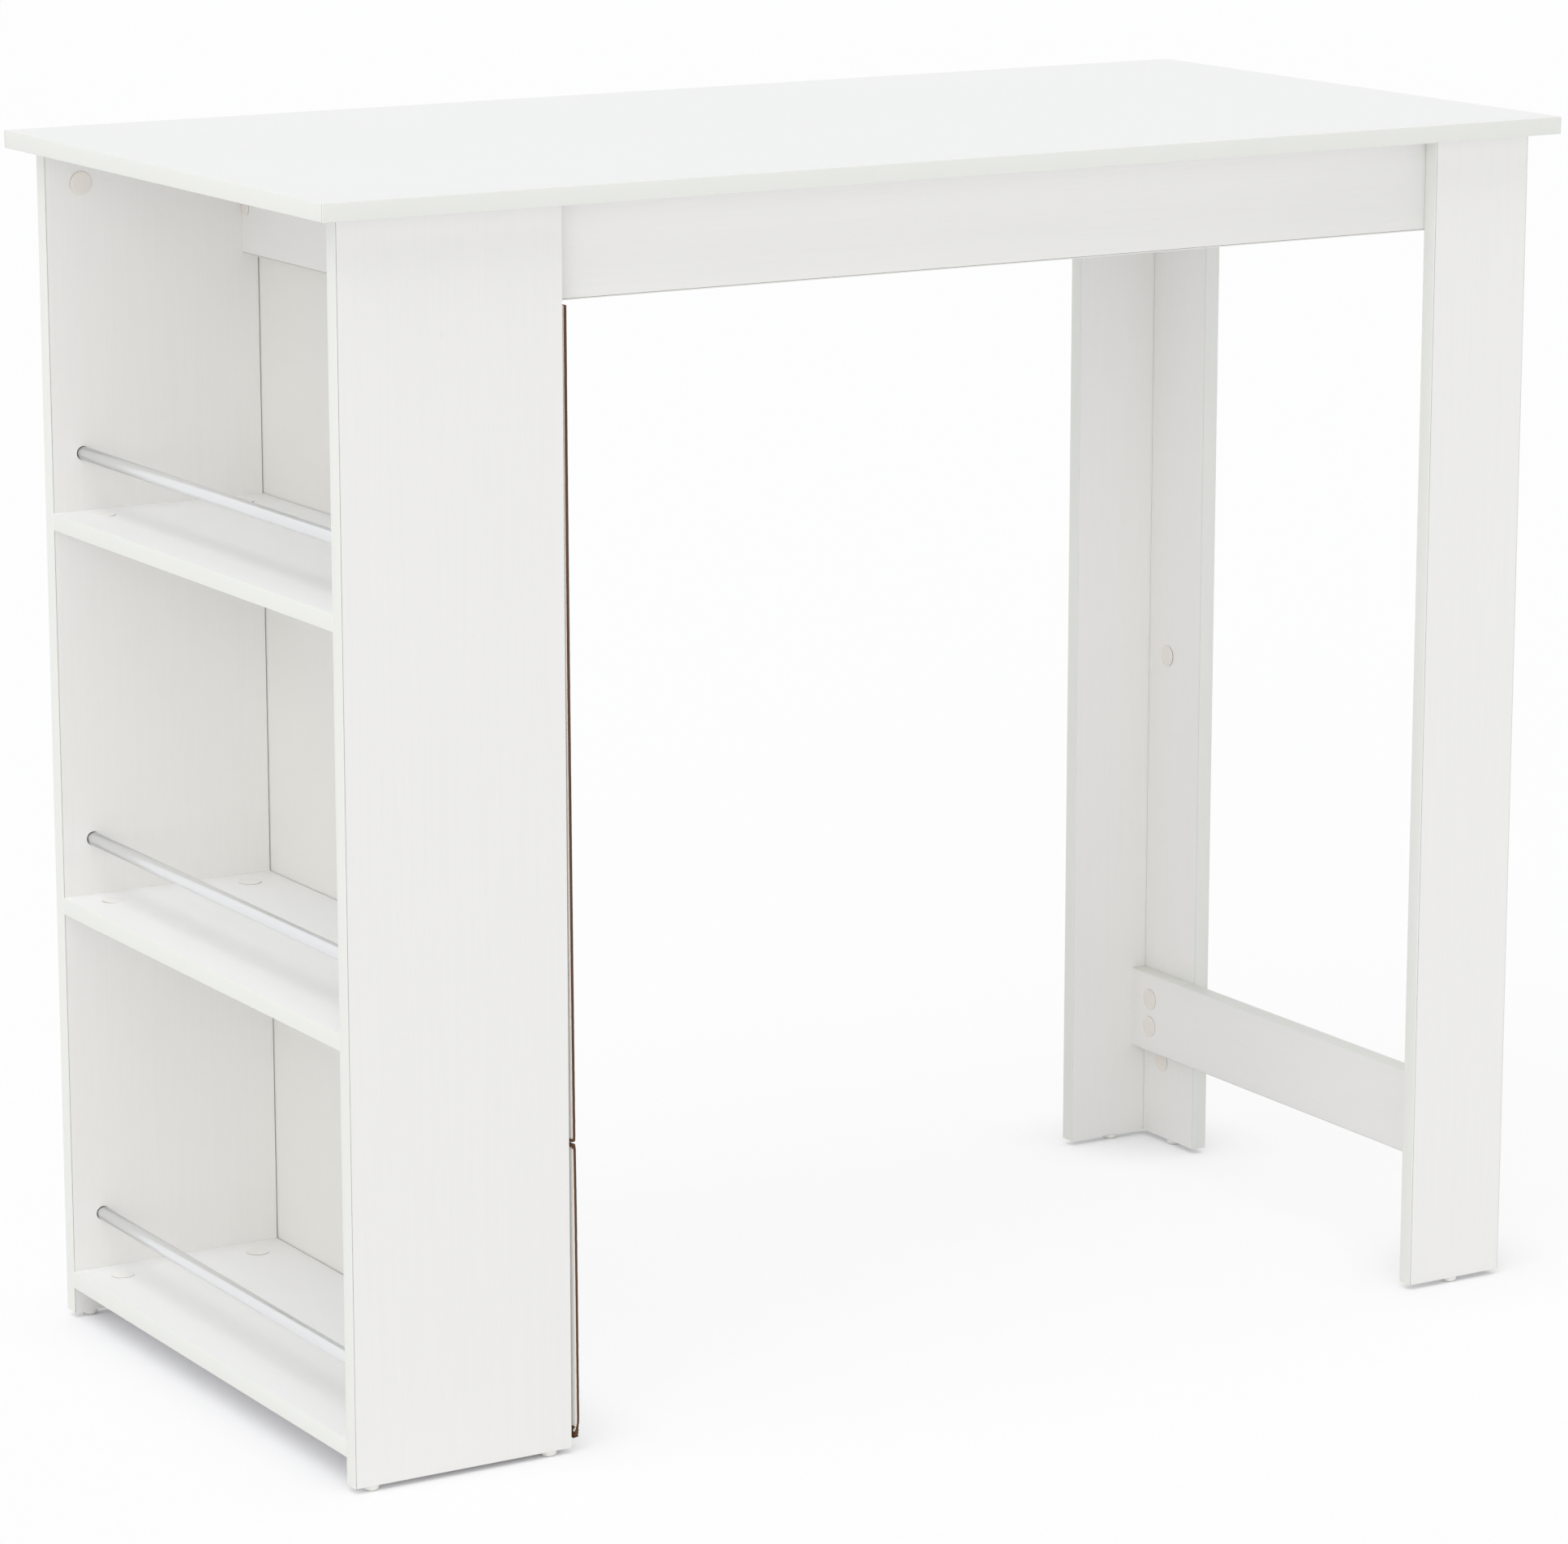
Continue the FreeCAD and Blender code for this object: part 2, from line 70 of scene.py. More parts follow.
TABLE = "table"
X, Y, Z = range(3)
TOUCH = 1e-5
SIDES = {"front": -1, "rear": 1}
LEVELS = ("lower", "middle", "upper")
APRONS = ("front_apron", "rear_apron", "end_apron")
UPRIGHTS = ("side_panel", "leg_face_board", "leg_side_board")

# The boards, each with the axis that its grain runs along
BOARDS = {
    "tabletop": X,
    "front_apron": X,
    "rear_apron": X,
    "end_apron": Y,
    "cabinet_rail": Y,
    "leg_stretcher": Y,
    **{f"{level}_shelf": Y for level in LEVELS},
    **{f"{side}_{board}": Z for side in SIDES for board in UPRIGHTS},
}

# The edging, each strip as its board, the axis that it faces along and the sign on that axis
STRIPS = {
    "tabletop_edging": [("tabletop", axis, sign) for axis in (Y, X) for sign in (-1, 1)],
    "side_panel_edging": [(f"{side}_side_panel", X, -1) for side in SIDES],
    "leg_edging": [(f"{side}_leg_face_board", X, sign) for side in SIDES for sign in (-1, 1)]
    + [(f"{side}_leg_side_board", Y, -sign) for side, sign in SIDES.items()],
    "apron_edging": [(apron, Z, -1) for apron in APRONS],
    "shelf_edging": [(f"{level}_shelf", X, -1) for level in LEVELS],
    "cabinet_rail_edging": [("cabinet_rail", Z, -1)],
    "stretcher_edging": [("leg_stretcher", Z, sign) for sign in (-1, 1)],
}

# The sides of a board where its joint with the edging or the next board shows as a dark line: glue, and
# painted shade in the gap
DARK_JOINTS = {
    "cabinet_rail": [(Z, -1)],
    **{apron: [(Z, -1)] for apron in APRONS},
    **{f"{side}_{board}": [(X, -1)] for side in SIDES for board in ("side_panel", "leg_face_board")},
    **{f"{side}_leg_side_board": [(Y, -1), (Y, 1)] for side in SIDES},
}

EDGING_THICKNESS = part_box("tabletop")[0].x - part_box("tabletop_edging")[0].x
BACK_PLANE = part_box("lower_back_panel")[0].x
BACK_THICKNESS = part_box("lower_back_panel")[1].x - BACK_PLANE
BACK_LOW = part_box("lower_back_panel")[0].z
BACK_JOINT = (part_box("lower_back_panel")[1].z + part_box("upper_back_panel")[0].z) / 2
BACK_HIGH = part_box("upper_back_panel")[1].z
BACK_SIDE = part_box("upper_back_panel")[1].y

# Step of the back's mesh in metres, and the number of cuts that make it finer at a worn end
BACK_STEP = 0.008
FINE_CUTS = 10

# Waves per metre of the noises that wear the back and set the caps crooked
FRAY_WAVES = (160, 520)
WEAR_WAVES = 420
CHIP_WAVES = 350
TILT_WAVES = (90, 50, 70)

# Places of the finishes in a piece's list of materials
COAT, RAW, GLUE_AND_PAINTED_SHADE_LINE = range(3)

# Least part of its normal along an axis that makes a face a flat one
FLAT = 0.99

# How far round a rail its socket is looked for, in radii of the rail
SOCKET_REACH = 1.2

# The rings of a cap's dome, each as a share of the radius and a share of the rise
CAP_RINGS = ((0.25, 0.5), (0.35, 0.4), (0.25, 0.1))

# A nail's rounding and the height of its middle above the back, as shares of its head's height
NAIL_ROUND = 0.45
NAIL_STAND = 0.3

# The studio, in metres, and the camera's sensor in millimetres
FLOOR_SIZE = 80
LAMP_HEIGHT = 4
CLIP_END = 200
SENSOR_WIDTH = 36
WHITE = (1, 1, 1, 1)
SKY_TINT = (0.985, 0.99, 1, 1)


def linear(red, green, blue):
    """A colour on the screen's scale of 0 to 255 as the shader's own linear values."""
    parts = [part / 255 for part in (red, green, blue)]
    return [part / 12.92 if part <= 0.04045 else ((part + 0.055) / 1.055) ** 2.4 for part in parts]


# Settings


def length(name, description, millimetres):
    return FloatProperty(
        name=name, description=description, default=millimetres / 1000, min=0, precision=5,
        unit="LENGTH")


def colour(name, description, *screen):
    return FloatVectorProperty(
        name=name, description=description, default=linear(*screen), min=0, max=1, subtype="COLOR")


def angle(name, description, degrees):
    return FloatProperty(
        name=name, description=description, default=math.radians(degrees), unit="ROTATION",
        subtype="ANGLE")


def amount(name, description, default):
    return FloatProperty(name=name, description=description, default=default, min=0)


class TableShapes(bpy.types.PropertyGroup):
    """Small forms that the solids leave plain."""

    edge_break: length("Edge break", "Chamfer along the cut edges of every board", 0.35)
    edging_round: length("Edging round", "Radius along the outer edges of the edging", 0.75)
    cap_round: length("Cap round", "Radius of a cover cap's rim", 0.4)
    cap_dome: length("Cap dome", "Rise of a cover cap's middle above its rim", 0.2)
    cap_tilt: angle("Cap tilt", "Most that a cover cap sits crooked", 2.6)
    foot_round: length("Foot round", "Radius of a foot's lower rim", 3)
    rail_wall: length("Rail wall", "Wall of the tube of a shelf rail", 1)
    rail_break: length("Rail break", "Chamfer at the ends of a shelf rail", 0.25)
    rail_play: length("Rail play", "Gap round a shelf rail in its sockets", 0.22)
    back_gap: length("Back gap", "Gap between the back and the panels, shelves and rail", 0.8)
    back_reach: length("Back reach", "How far the back's front edge reaches past its solid", 1)
    back_gap_high: length("Back gap, top", "Gap at the front side panel's upper end", 0.6)
    back_gap_joint: length("Back gap, joint", "Gap at the front side panel where the leaves meet", 3)
    back_gap_low: length("Back gap, bottom", "Gap at the front side panel's lower end", 4.7)
    back_curl: length("Back curl", "Width of the stretch that curls off the front side panel", 14)
    back_coat: length("Back coat", "Width of the coat that laps over the back's inner edge", 0.25)
    profile_inset: length("Profile inset", "How far the profile ends inside the edge of the back", 7)
    back_fray: length("Back fray", "Roughness of the back's cut edges", 0.25)
    corner_fray: length("Corner fray", "How far the back's lower front corner is chewed", 3)
    corner_reach: length("Corner reach", "How far from the corner the chewed stretch runs", 16)
    chip_height: length("Chip height", "How high the coat is chipped off at that corner", 10)
    joint_wear: amount("Joint wear", "Wear where the leaves meet, as a share of the corner's", 0.3)
    nail_head: length("Nail head", "Diameter of a nail's head", 3.6)
    nail_height: length("Nail height", "Height of a nail's head", 0.6)
    nail_pitch: length("Nail pitch", "Distance from one nail of the back to the next", 120)


class TableColours(bpy.types.PropertyGroup):
    """Colours of the finishes."""

    board: colour("Board", "Coated faces of the boards", 245, 244, 241)
    # The shelf and top whites are lighter, cooler copies of the board white: painted light for the
    # light that falls on level faces from above
    shelf: colour("Shelf", "Coated faces of the shelves", 249, 249, 249)
    top: colour("Top", "Coated faces of the top", 246, 246, 246)
    chipboard: colour("Chipboard", "Raw cut edges of the boards", 176, 152, 120)
    # The joint line is grey glue along the seams and painted shade for the shadow in the gaps beside
    # edging, between leg boards and round the caps
    joint: colour("Joint line", "Glue and dirt in the fine lines beside edging and caps", 146, 139, 126)
    edging: colour("Edging", "Edging strips", 238, 239, 233)
    back_face: colour("Back", "Coated faces of the back", 243, 242, 237)
    back_edge: colour("Back edge", "Raw cut edges of the back", 99, 65, 41)
    rail: colour("Rail", "Metal of the shelf rails", 235, 236, 237)
    zinc: colour("Zinc", "Cam locks, bolts, screws and nails", 176, 178, 180)
    cap: colour("Cap", "Cover caps on upright boards", 242, 237, 229)
    shelf_cap: colour("Shelf cap", "Cover caps on the shelves", 247, 246, 243)
    foot: colour("Foot", "Plastic feet", 242, 241, 235)
    profile: colour("Profile", "Plastic profile between the leaves of the back", 236, 236, 232)
    beech: colour("Beech", "Dowels", 206, 172, 126)
    floor: colour("Floor", "Floor of the studio", 250, 250, 252)


class StudioSettings(bpy.types.PropertyGroup):
    """Camera and light."""

    camera_place: FloatVectorProperty(
        name="Camera", description="Where the camera stands", default=(-2.6143, -4.3241, 1.5978),
        subtype="XYZ_LENGTH", unit="LENGTH")
    camera_turn: angle("Turn", "Heading of the camera, clockwise from +Y", 31.09)
    camera_pitch: angle("Pitch", "Tilt of the camera below the horizon", 12.48)
    lens: amount("Lens", "Focal length on a sensor 36 mm wide, in mm", 135.1)
    sky_level: amount("Sky", "Light from all round", 0.62)
    key_level: amount("Key", "Light from the soft lamp high on the left", 0.415)
    key_turn: angle("Key turn", "Heading that the left lamp shines to, clockwise from +Y", 75)
    key_tilt: angle("Key tilt", "Tilt of the left lamp's light from straight down", 40)
    top_level: amount("Top", "Light from the soft lamp overhead", 0.67)
    top_turn: angle("Top turn", "Heading that the overhead lamp shines to, clockwise from +Y", 60)
    top_tilt: angle("Top tilt", "Tilt of the overhead lamp's light from straight down", 20)
    fill_level: amount("Fill", "Light from the soft lamp low at the front", 0.555)
    fill_turn: angle("Fill turn", "Heading that the front lamp shines to, clockwise from +Y", 40)
    fill_tilt: angle("Fill tilt", "Tilt of the front lamp's light from straight down", 80)
    lamp_spread: angle("Lamp spread", "Width of each lamp as the table sees it", 40)
    floor_lift: amount("Floor lift", "Share of plain white in what the camera sees of the floor", 0.85)
    shadow_reach: length("Shadow reach", "How far the floor keeps more of the table's shadow", 100)


class TableSettings(bpy.types.PropertyGroup):
    """All the settings of the table and its studio."""

    shapes: PointerProperty(type=TableShapes)
    colours: PointerProperty(type=TableColours)
    studio: PointerProperty(type=StudioSettings)


def settings():
    return bpy.context.scene.bar_table


# Modelling


def select_only(*things):
    """Select these objects and nothing else, with the first one active."""
    bpy.ops.object.select_all(action="DESELECT")
    for thing in things:
        thing.select_set(True)
    bpy.context.view_layer.objects.active = things[0]


@contextmanager
def editing(piece):
    """Edit mode on one object, with nothing selected in it."""
    select_only(piece)
    bpy.ops.object.mode_set(mode="EDIT")
    bpy.ops.mesh.select_all(action="DESELECT")
    yield
    bpy.ops.object.mode_set(mode="OBJECT")


def pick_edges(piece, test):
    """In edit mode, select the edges whose two end points pass a test."""
    bpy.ops.mesh.select_mode(type="EDGE")
    bpy.ops.object.mode_set(mode="OBJECT")
    points = [vertex.co for vertex in piece.data.vertices]
    for edge in piece.data.edges:
        edge.select = test(*(points[index] for index in edge.vertices))
    bpy.ops.object.mode_set(mode="EDIT")


def pick_faces(piece, test):
    """In edit mode, select the faces that pass a test on their centre and normal."""
    bpy.ops.mesh.select_mode(type="FACE")
    bpy.ops.object.mode_set(mode="OBJECT")
    for face in piece.data.polygons:
        face.select = test(face.center, face.normal)
    bpy.ops.object.mode_set(mode="EDIT")


def add(primitive, name, scale=(1, 1, 1), **how):
    """Add a primitive by its operator, with its place and scale put into its mesh."""
    bpy.ops.object.select_all(action="DESELECT")
    getattr(bpy.ops.mesh, f"primitive_{primitive}_add")(**how)
    piece = bpy.context.object
    piece.scale = scale
    piece.name = piece.data.name = name
    bpy.ops.object.transform_apply(location=True, rotation=True, scale=True)
    return piece


def add_block(name, low, high):
    low, high = Vector(low), Vector(high)
    return add("cube", name, size=1, location=(low + high) / 2, scale=high - low)


def copy_of_node(node, name):
    """A new object with a merged copy of a CAD node's mesh."""
    piece = bpy.data.objects.new(name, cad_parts[node].data.copy())
    bpy.context.scene.collection.objects.link(piece)
    piece.data.materials.clear()
    select_only(piece)
    bpy.ops.mesh.customdata_custom_splitnormals_clear()
    with editing(piece):
        bpy.ops.mesh.select_all(action="SELECT")
        bpy.ops.mesh.remove_doubles(threshold=TOUCH)
        bpy.ops.mesh.dissolve_limited(angle_limit=math.radians(1))
    return piece


def solids_of(node):
    """The lowest and highest corner of each separate solid in a CAD node."""
    piece = copy_of_node(node, f"loose_{node}")
    with editing(piece):
        bpy.ops.mesh.select_all(action="SELECT")
        bpy.ops.mesh.separate(type="LOOSE")
    boxes = []
    for part in list(bpy.context.selected_objects):
        corners = [Vector(corner) for corner in part.bound_box]
        boxes.append((Vector(map(min, *corners)), Vector(map(max, *corners))))
        bpy.data.objects.remove(part)
    return boxes


def join(pieces, name):
    select_only(*pieces)
    if len(pieces) > 1:
        bpy.ops.object.join()
    pieces[0].name = pieces[0].data.name = name
    return pieces[0]


def copies(pattern, places, name):
    """One object made of a copy of a pattern at each place. The pattern itself goes."""
    made = []
    for place in places:
        mesh = pattern.data.copy()
        mesh.transform(place)
        made.append(bpy.data.objects.new(name, mesh))
        bpy.context.scene.collection.objects.link(made[-1])
    bpy.data.objects.remove(pattern)
    return join(made, name)


def apply_modifier(piece, kind, **values):
    select_only(piece)
    modifier = piece.modifiers.new(kind.title(), kind)
    for key, value in values.items():
        setattr(modifier, key, value)
    bpy.ops.object.modifier_apply(modifier=modifier.name)


def smooth(piece, degrees=30):
    select_only(piece)
    bpy.ops.object.shade_smooth_by_angle(angle=math.radians(degrees))


def settle(piece, slot, *nodes, body=TABLE):
    """Let a finished piece ride on its body and stand for its nodes. The slot is not used."""
    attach(piece, body)
    if nodes:
        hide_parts(*nodes)


def facing(direction, point):
    """A place at a point, with +Z turned to a direction."""
    return Matrix.Translation(point) @ Vector(direction).to_track_quat("Z", "Y").to_matrix().to_4x4()


# Materials


class Value:
    """A socket of a shader. Arithmetic on it adds Math nodes."""

    def __init__(self, shader, socket):
        self.shader, self.socket = shader, socket

    def math(self, operation, first, second):
        return self.shader.node("ShaderNodeMath", {"operation": operation}, {0: first, 1: second})

    def __add__(self, other):
        return self.math("ADD", self, other)

    def __radd__(self, other):
        return self.math("ADD", other, self)

    def __sub__(self, other):
        return self.math("SUBTRACT", self, other)

    def __rsub__(self, other):
        return self.math("SUBTRACT", other, self)

    def __mul__(self, other):
        return self.math("MULTIPLY", self, other)

    def __rmul__(self, other):
        return self.math("MULTIPLY", other, self)


class Shader:
    """The nodes of one material or of the world."""

    def __init__(self, owner):
        owner.use_nodes = True
        self.tree = owner.node_tree
        self.tree.nodes.clear()

    def node(self, kind, values=None, sockets=None, output=0):
        """Add a node: its settings first, then the values and links of its sockets."""
        node = self.tree.nodes.new(kind)
        for key, value in (values or {}).items():
            if key == "stops":
                while len(node.color_ramp.elements) < len(value):
                    node.color_ramp.elements.new(0.5)
                for element, (position, tone) in zip(node.color_ramp.elements, value):
                    element.position = position
                    element.color = (tone, tone, tone, 1)
            else:
                setattr(node, key, value)
        for key, value in (sockets or {}).items():
            if isinstance(value, Value):
                self.tree.links.new(value.socket, node.inputs[key])
            else:
                node.inputs[key].default_value = value
        return Value(self, node.outputs[output]) if node.outputs else None

    def coordinates(self):
        return self.node("ShaderNodeTexCoord", output="Object")

    def noise(self, stretch, detail=2.0, roughness=0.5):
        """A noise from 0 to 1, with its own count of waves per metre along each axis."""
        place = self.node("ShaderNodeMapping", sockets={"Vector": self.coordinates(), "Scale": stretch})
        return self.node("ShaderNodeTexNoise", sockets={
            "Vector": place, "Scale": 1.0, "Detail": detail, "Roughness": roughness})

    def ramp(self, factor, *stops):
        return self.node("ShaderNodeValToRGB", {"stops": stops}, {"Fac": factor})

    def mix(self, factor, first, second):
        """A colour between two others. The numbers are the sockets for colours."""
        return self.node(
            "ShaderNodeMix", {"data_type": "RGBA"}, {0: factor, 6: first, 7: second}, output=2)

    def bump(self, height, millimetres):
        return self.node("ShaderNodeBump", sockets={
            "Height": height, "Distance": millimetres / 1000, "Strength": 1.0})

    def looked_at(self):
        """1 for what the camera sees, straight, mirrored or through glass, and 0 for other light."""
        rays = [self.node("ShaderNodeLightPath", output=f"Is {ray} Ray")
                for ray in ("Camera", "Glossy", "Transmission")]
        return rays[0] + rays[1] + rays[2]

    def surface(self, **sockets):
        """A principled surface as the material's output."""
        named = {}
        for key, value in sockets.items():
            named[key.replace("_", " ").title().replace("Ior", "IOR")] = value
        shader = self.node("ShaderNodeBsdfPrincipled", sockets=named)
        self.node("ShaderNodeOutputMaterial", sockets={"Surface": shader})


finishes = {}


def finish(name, build, *values):
    """A material by its name, built on first use."""
    if name not in finishes:
        finishes[name] = bpy.data.materials.new(name)
        build(Shader(finishes[name]), *values)
    return finishes[name]


def dress(piece, *materials):
    """Give a piece its materials, in the order that its faces count them."""
    for material in materials:
        piece.data.materials.append(material)


def shade(tone, factor):
    """A colour made darker or lighter by a factor, with its alpha."""
    return (*(min(part * factor, 1) for part in tone), 1)


def along(axis, fine, coarse):
    """Waves per metre that are coarse along one axis and fine across it."""
    return [coarse if axis == other else fine for other in range(3)]


def build_board(shader, axis, tone):
    """White melamine: faint pores along the grain, a broad unevenness and a few dark flecks."""
    streaks = shader.noise(along(axis, 420, 9), detail=3, roughness=0.65)
    pores = shader.ramp(shader.noise(along(axis, 1500, 60), detail=2), (0.62, 0), (0.74, 1))
    cloud = shader.noise([3, 3, 3], detail=2)
    flecks = shader.ramp(shader.noise(along(axis, 800, 90), detail=0), (0.86, 0), (0.9, 1))
    base = shader.mix(streaks * 0.7 + cloud * 0.3, shade(tone, 0.965), shade(tone, 1.025))
    base = shader.mix(pores * 0.05 + flecks * 0.16, base, shade(tone, 0.55))
    relief = shader.bump(streaks - pores * 0.4, 0.012)
    shader.surface(base_color=base, roughness=0.56 + cloud * 0.1 + pores * 0.08, normal=relief)


def build_chipboard(shader):
    """Raw chipboard: pressed chips, light and dark."""
    tone = settings().colours.chipboard
    chips = shader.noise([420, 420, 420], detail=3, roughness=0.7)
    coarse = shader.noise([160, 160, 160], detail=1)
    base = shader.mix(chips * 0.6 + coarse * 0.4, shade(tone, 0.62), shade(tone, 1.3))
    shader.surface(base_color=base, roughness=0.9, normal=shader.bump(chips, 0.15))


def build_glue_and_painted_shade_line(shader):
    """The fine line beside edging, between boards and round the caps: grey glue, and painted shade for
    the shadow in the gaps, darker in places.
    """
    tone = settings().colours.joint
    dirt = shader.noise([45, 45, 45], detail=4, roughness=0.7)
    base = shader.mix(dirt, shade(tone, 0.5), shade(tone, 1.6))
    shader.surface(base_color=base, roughness=0.8, normal=shader.bump(dirt, 0.05))


def build_edging(shader):
    """Plastic edging with a fine grit and a soft gloss."""
    tone = settings().colours.edging
    drift = shader.noise([9, 9, 9], detail=2)
    grit = shader.noise([500, 500, 500], detail=2)
    base = shader.mix(drift * 0.75 + grit * 0.25, shade(tone, 0.975), shade(tone, 1.02))
    shader.surface(base_color=base, roughness=0.34 + drift * 0.06, specular_ior_level=0.3)


def build_back_face(shader):
    """Lacquered hardboard: slightly creamy and duller than the boards."""
    tone = settings().colours.back_face
    cloud = shader.noise([5, 5, 5], detail=3)
    fibre = shader.noise(along(Z, 700, 120), detail=3, roughness=0.6)
    base = shader.mix(cloud * 0.5 + fibre * 0.5, shade(tone, 0.96), shade(tone, 1.03))
    shader.surface(base_color=base, roughness=0.5 + fibre * 0.1, normal=shader.bump(fibre, 0.02))


def build_back_edge(shader):
    """Raw edge of hardboard: brown pressed fibre in layers."""
    tone = settings().colours.back_edge
    layers = shader.noise([2600, 160, 160], detail=3, roughness=0.7)
    tufts = shader.noise([500, 500, 500], detail=2)
    base = shader.mix(layers * 0.6 + tufts * 0.4, shade(tone, 0.45), shade(tone, 1.5))
    shader.surface(base_color=base, roughness=0.95, normal=shader.bump(tufts, 0.3))


def build_rail(shader):
    """Satin metal with fine draw lines along the tube."""
    tone = settings().colours.rail
    lines = shader.noise(along(Y, 2200, 5), detail=2)
    cloud = shader.noise([30, 12, 30], detail=2)
    base = shader.mix(lines * 0.5 + cloud * 0.5, shade(tone, 0.9), shade(tone, 1.04))
    shader.surface(base_color=base, metallic=1.0, roughness=0.14 + lines * 0.1 + cloud * 0.06,
                   normal=shader.bump(lines, 0.01))


def build_zinc(shader):
    """Zinc die casting: a cloudy grey with small scratches."""
    tone = settings().colours.zinc
    cloud = shader.noise([240, 240, 240], detail=3)
    scratches = shader.ramp(shader.noise([3000, 300, 900], detail=1), (0.6, 0), (0.72, 1))
    base = shader.mix(cloud * 0.8 + scratches * 0.2, shade(tone, 0.7), shade(tone, 1.15))
    shader.surface(base_color=base, metallic=0.9, roughness=0.34 + cloud * 0.24,
                   normal=shader.bump(cloud, 0.02))


def build_plastic(shader, tone, roughness):
    """Moulded plastic with a fine even grain."""
    grain = shader.noise([1600, 1600, 1600], detail=2)
    cloud = shader.noise([60, 60, 60], detail=2)
    base = shader.mix(cloud * 0.7 + grain * 0.3, shade(tone, 0.955), shade(tone, 1.03))
    shader.surface(base_color=base, roughness=roughness + grain * 0.12,
                   normal=shader.bump(grain, 0.015))


def build_foot(shader):
    """Milky plastic: cloudy inside, with a glossy skin."""
    tone = settings().colours.foot
    cloud = shader.noise([220, 220, 220], detail=2)
    base = shader.mix(cloud, shade(tone, 0.93), shade(tone, 1.05))
    shader.surface(base_color=base, roughness=0.3 + cloud * 0.1, coat_weight=0.6, coat_roughness=0.12)


def build_beech(shader):
    """Beech with its pores along the dowel."""
    tone = settings().colours.beech
    grain = shader.noise([420, 420, 420], detail=4, roughness=0.7)
    base = shader.mix(grain, shade(tone, 0.72), shade(tone, 1.2))
    shader.surface(base_color=base, roughness=0.7, normal=shader.bump(grain, 0.06))


def build_floor(shader):
    """Pale floor: plain white is mixed into what the camera sees of it, and the shadow stays."""
    studio, tone = settings().studio, settings().colours.floor
    open_sky = shader.node(
        "ShaderNodeAmbientOcclusion", sockets={"Distance": studio.shadow_reach}, output="AO")
    lift = shader.looked_at() * open_sky * studio.floor_lift
    lit = shader.node("ShaderNodeBsdfDiffuse", sockets={"Color": shade(tone, 1)})
    plain = shader.node("ShaderNodeEmission", sockets={"Color": WHITE, "Strength": 1.0})
    mixed = shader.node("ShaderNodeMixShader", sockets={0: lift, 1: lit, 2: plain})
    shader.node("ShaderNodeOutputMaterial", sockets={"Surface": mixed})


def board_finish(node, axis):
    """The white of a board, with its grain along an axis. The shelves and the top take lighter, cooler
    copies of it, which are painted light.
    """
    colours = settings().colours
    kind = "top" if node == "tabletop" else "shelf" if node.endswith("shelf") else "board"
    return finish(f"white_{kind}_{'xyz'[axis]}", build_board, axis, getattr(colours, kind))


# Pieces


class MakeBoards(bpy.types.Operator):
    """Give every board broken edges, coated faces and raw chipboard where it is cut or bored"""

    bl_idname = "bar_table.make_boards"
    bl_label = "Boards"

    def execute(self, context):
        for node, grain in BOARDS.items():
            self.make(node, grain)
        return {"FINISHED"}

    def make(self, node, grain):
        low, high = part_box(node)
        thin = min(range(3), key=lambda axis: high[axis] - low[axis])
        piece = copy_of_node(node, f"coated_{node}")
        if node.endswith("side_panel"):
            self.tighten_sockets(piece)

        def limits(point):
            return {(axis, end) for axis in range(3) for end, corner in enumerate((low, high))
                    if abs(point[axis] - corner[axis]) < TOUCH}

        with editing(piece):
            pick_edges(piece, lambda start, end: len(limits(start) & limits(end)) >= 2)
            bpy.ops.mesh.bevel(offset=settings().shapes.edge_break, segments=1, affect="EDGES")
        dress(piece, board_finish(node, grain), finish("raw_chipboard", build_chipboard),
              finish("joint_line", build_glue_and_painted_shade_line))
        upright = grain == Z
        for face in piece.data.polygons:
            sides = limits(face.center)
            flat = max(abs(part) for part in face.normal) > FLAT
            if flat and (upright and sides or any(axis == thin for axis, _ in sides)):
                face.material_index = COAT
            elif self.at_rim(face.center, low, high):
                dark = self.in_joint(node, face.center, low, high)
                face.material_index = GLUE_AND_PAINTED_SHADE_LINE if dark else COAT
            else:
                face.material_index = RAW
        smooth(piece)
        settle(piece, "white_board", node)

    def rim_reach(self):
        """How far the broken edges of a board may reach in from its sides."""
        return 2 * settings().shapes.edge_break

    def at_rim(self, centre, low, high):
        """Whether a face lies along the rim of its board, not in a bore."""
        reach = self.rim_reach()
        near = [min(centre[axis] - low[axis], high[axis] - centre[axis]) < reach for axis in range(3)]
        return sum(near) >= 2

    def in_joint(self, node, centre, low, high):
        """Whether a face of the rim lies in a joint that shows as a dark line of glue and painted
        shade.
        """
        reach = self.rim_reach()
        return any(abs(centre[axis] - (low if sign < 0 else high)[axis]) < reach
                   for axis, sign in DARK_JOINTS.get(node, ()))

    def tighten_sockets(self, piece):
        """Draw the sockets of the rails closer to the tubes."""
        play = settings().shapes.rail_play
        for level in LEVELS:
            low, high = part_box(f"{level}_shelf_rail")
            middle, radius = (low + high) / 2, (high.z - low.z) / 2
            for vertex in piece.data.vertices:
                away = vertex.co - middle
                away.y = 0
                if away.length < SOCKET_REACH * radius:
                    vertex.co += away.normalized() * (radius + play - away.length)


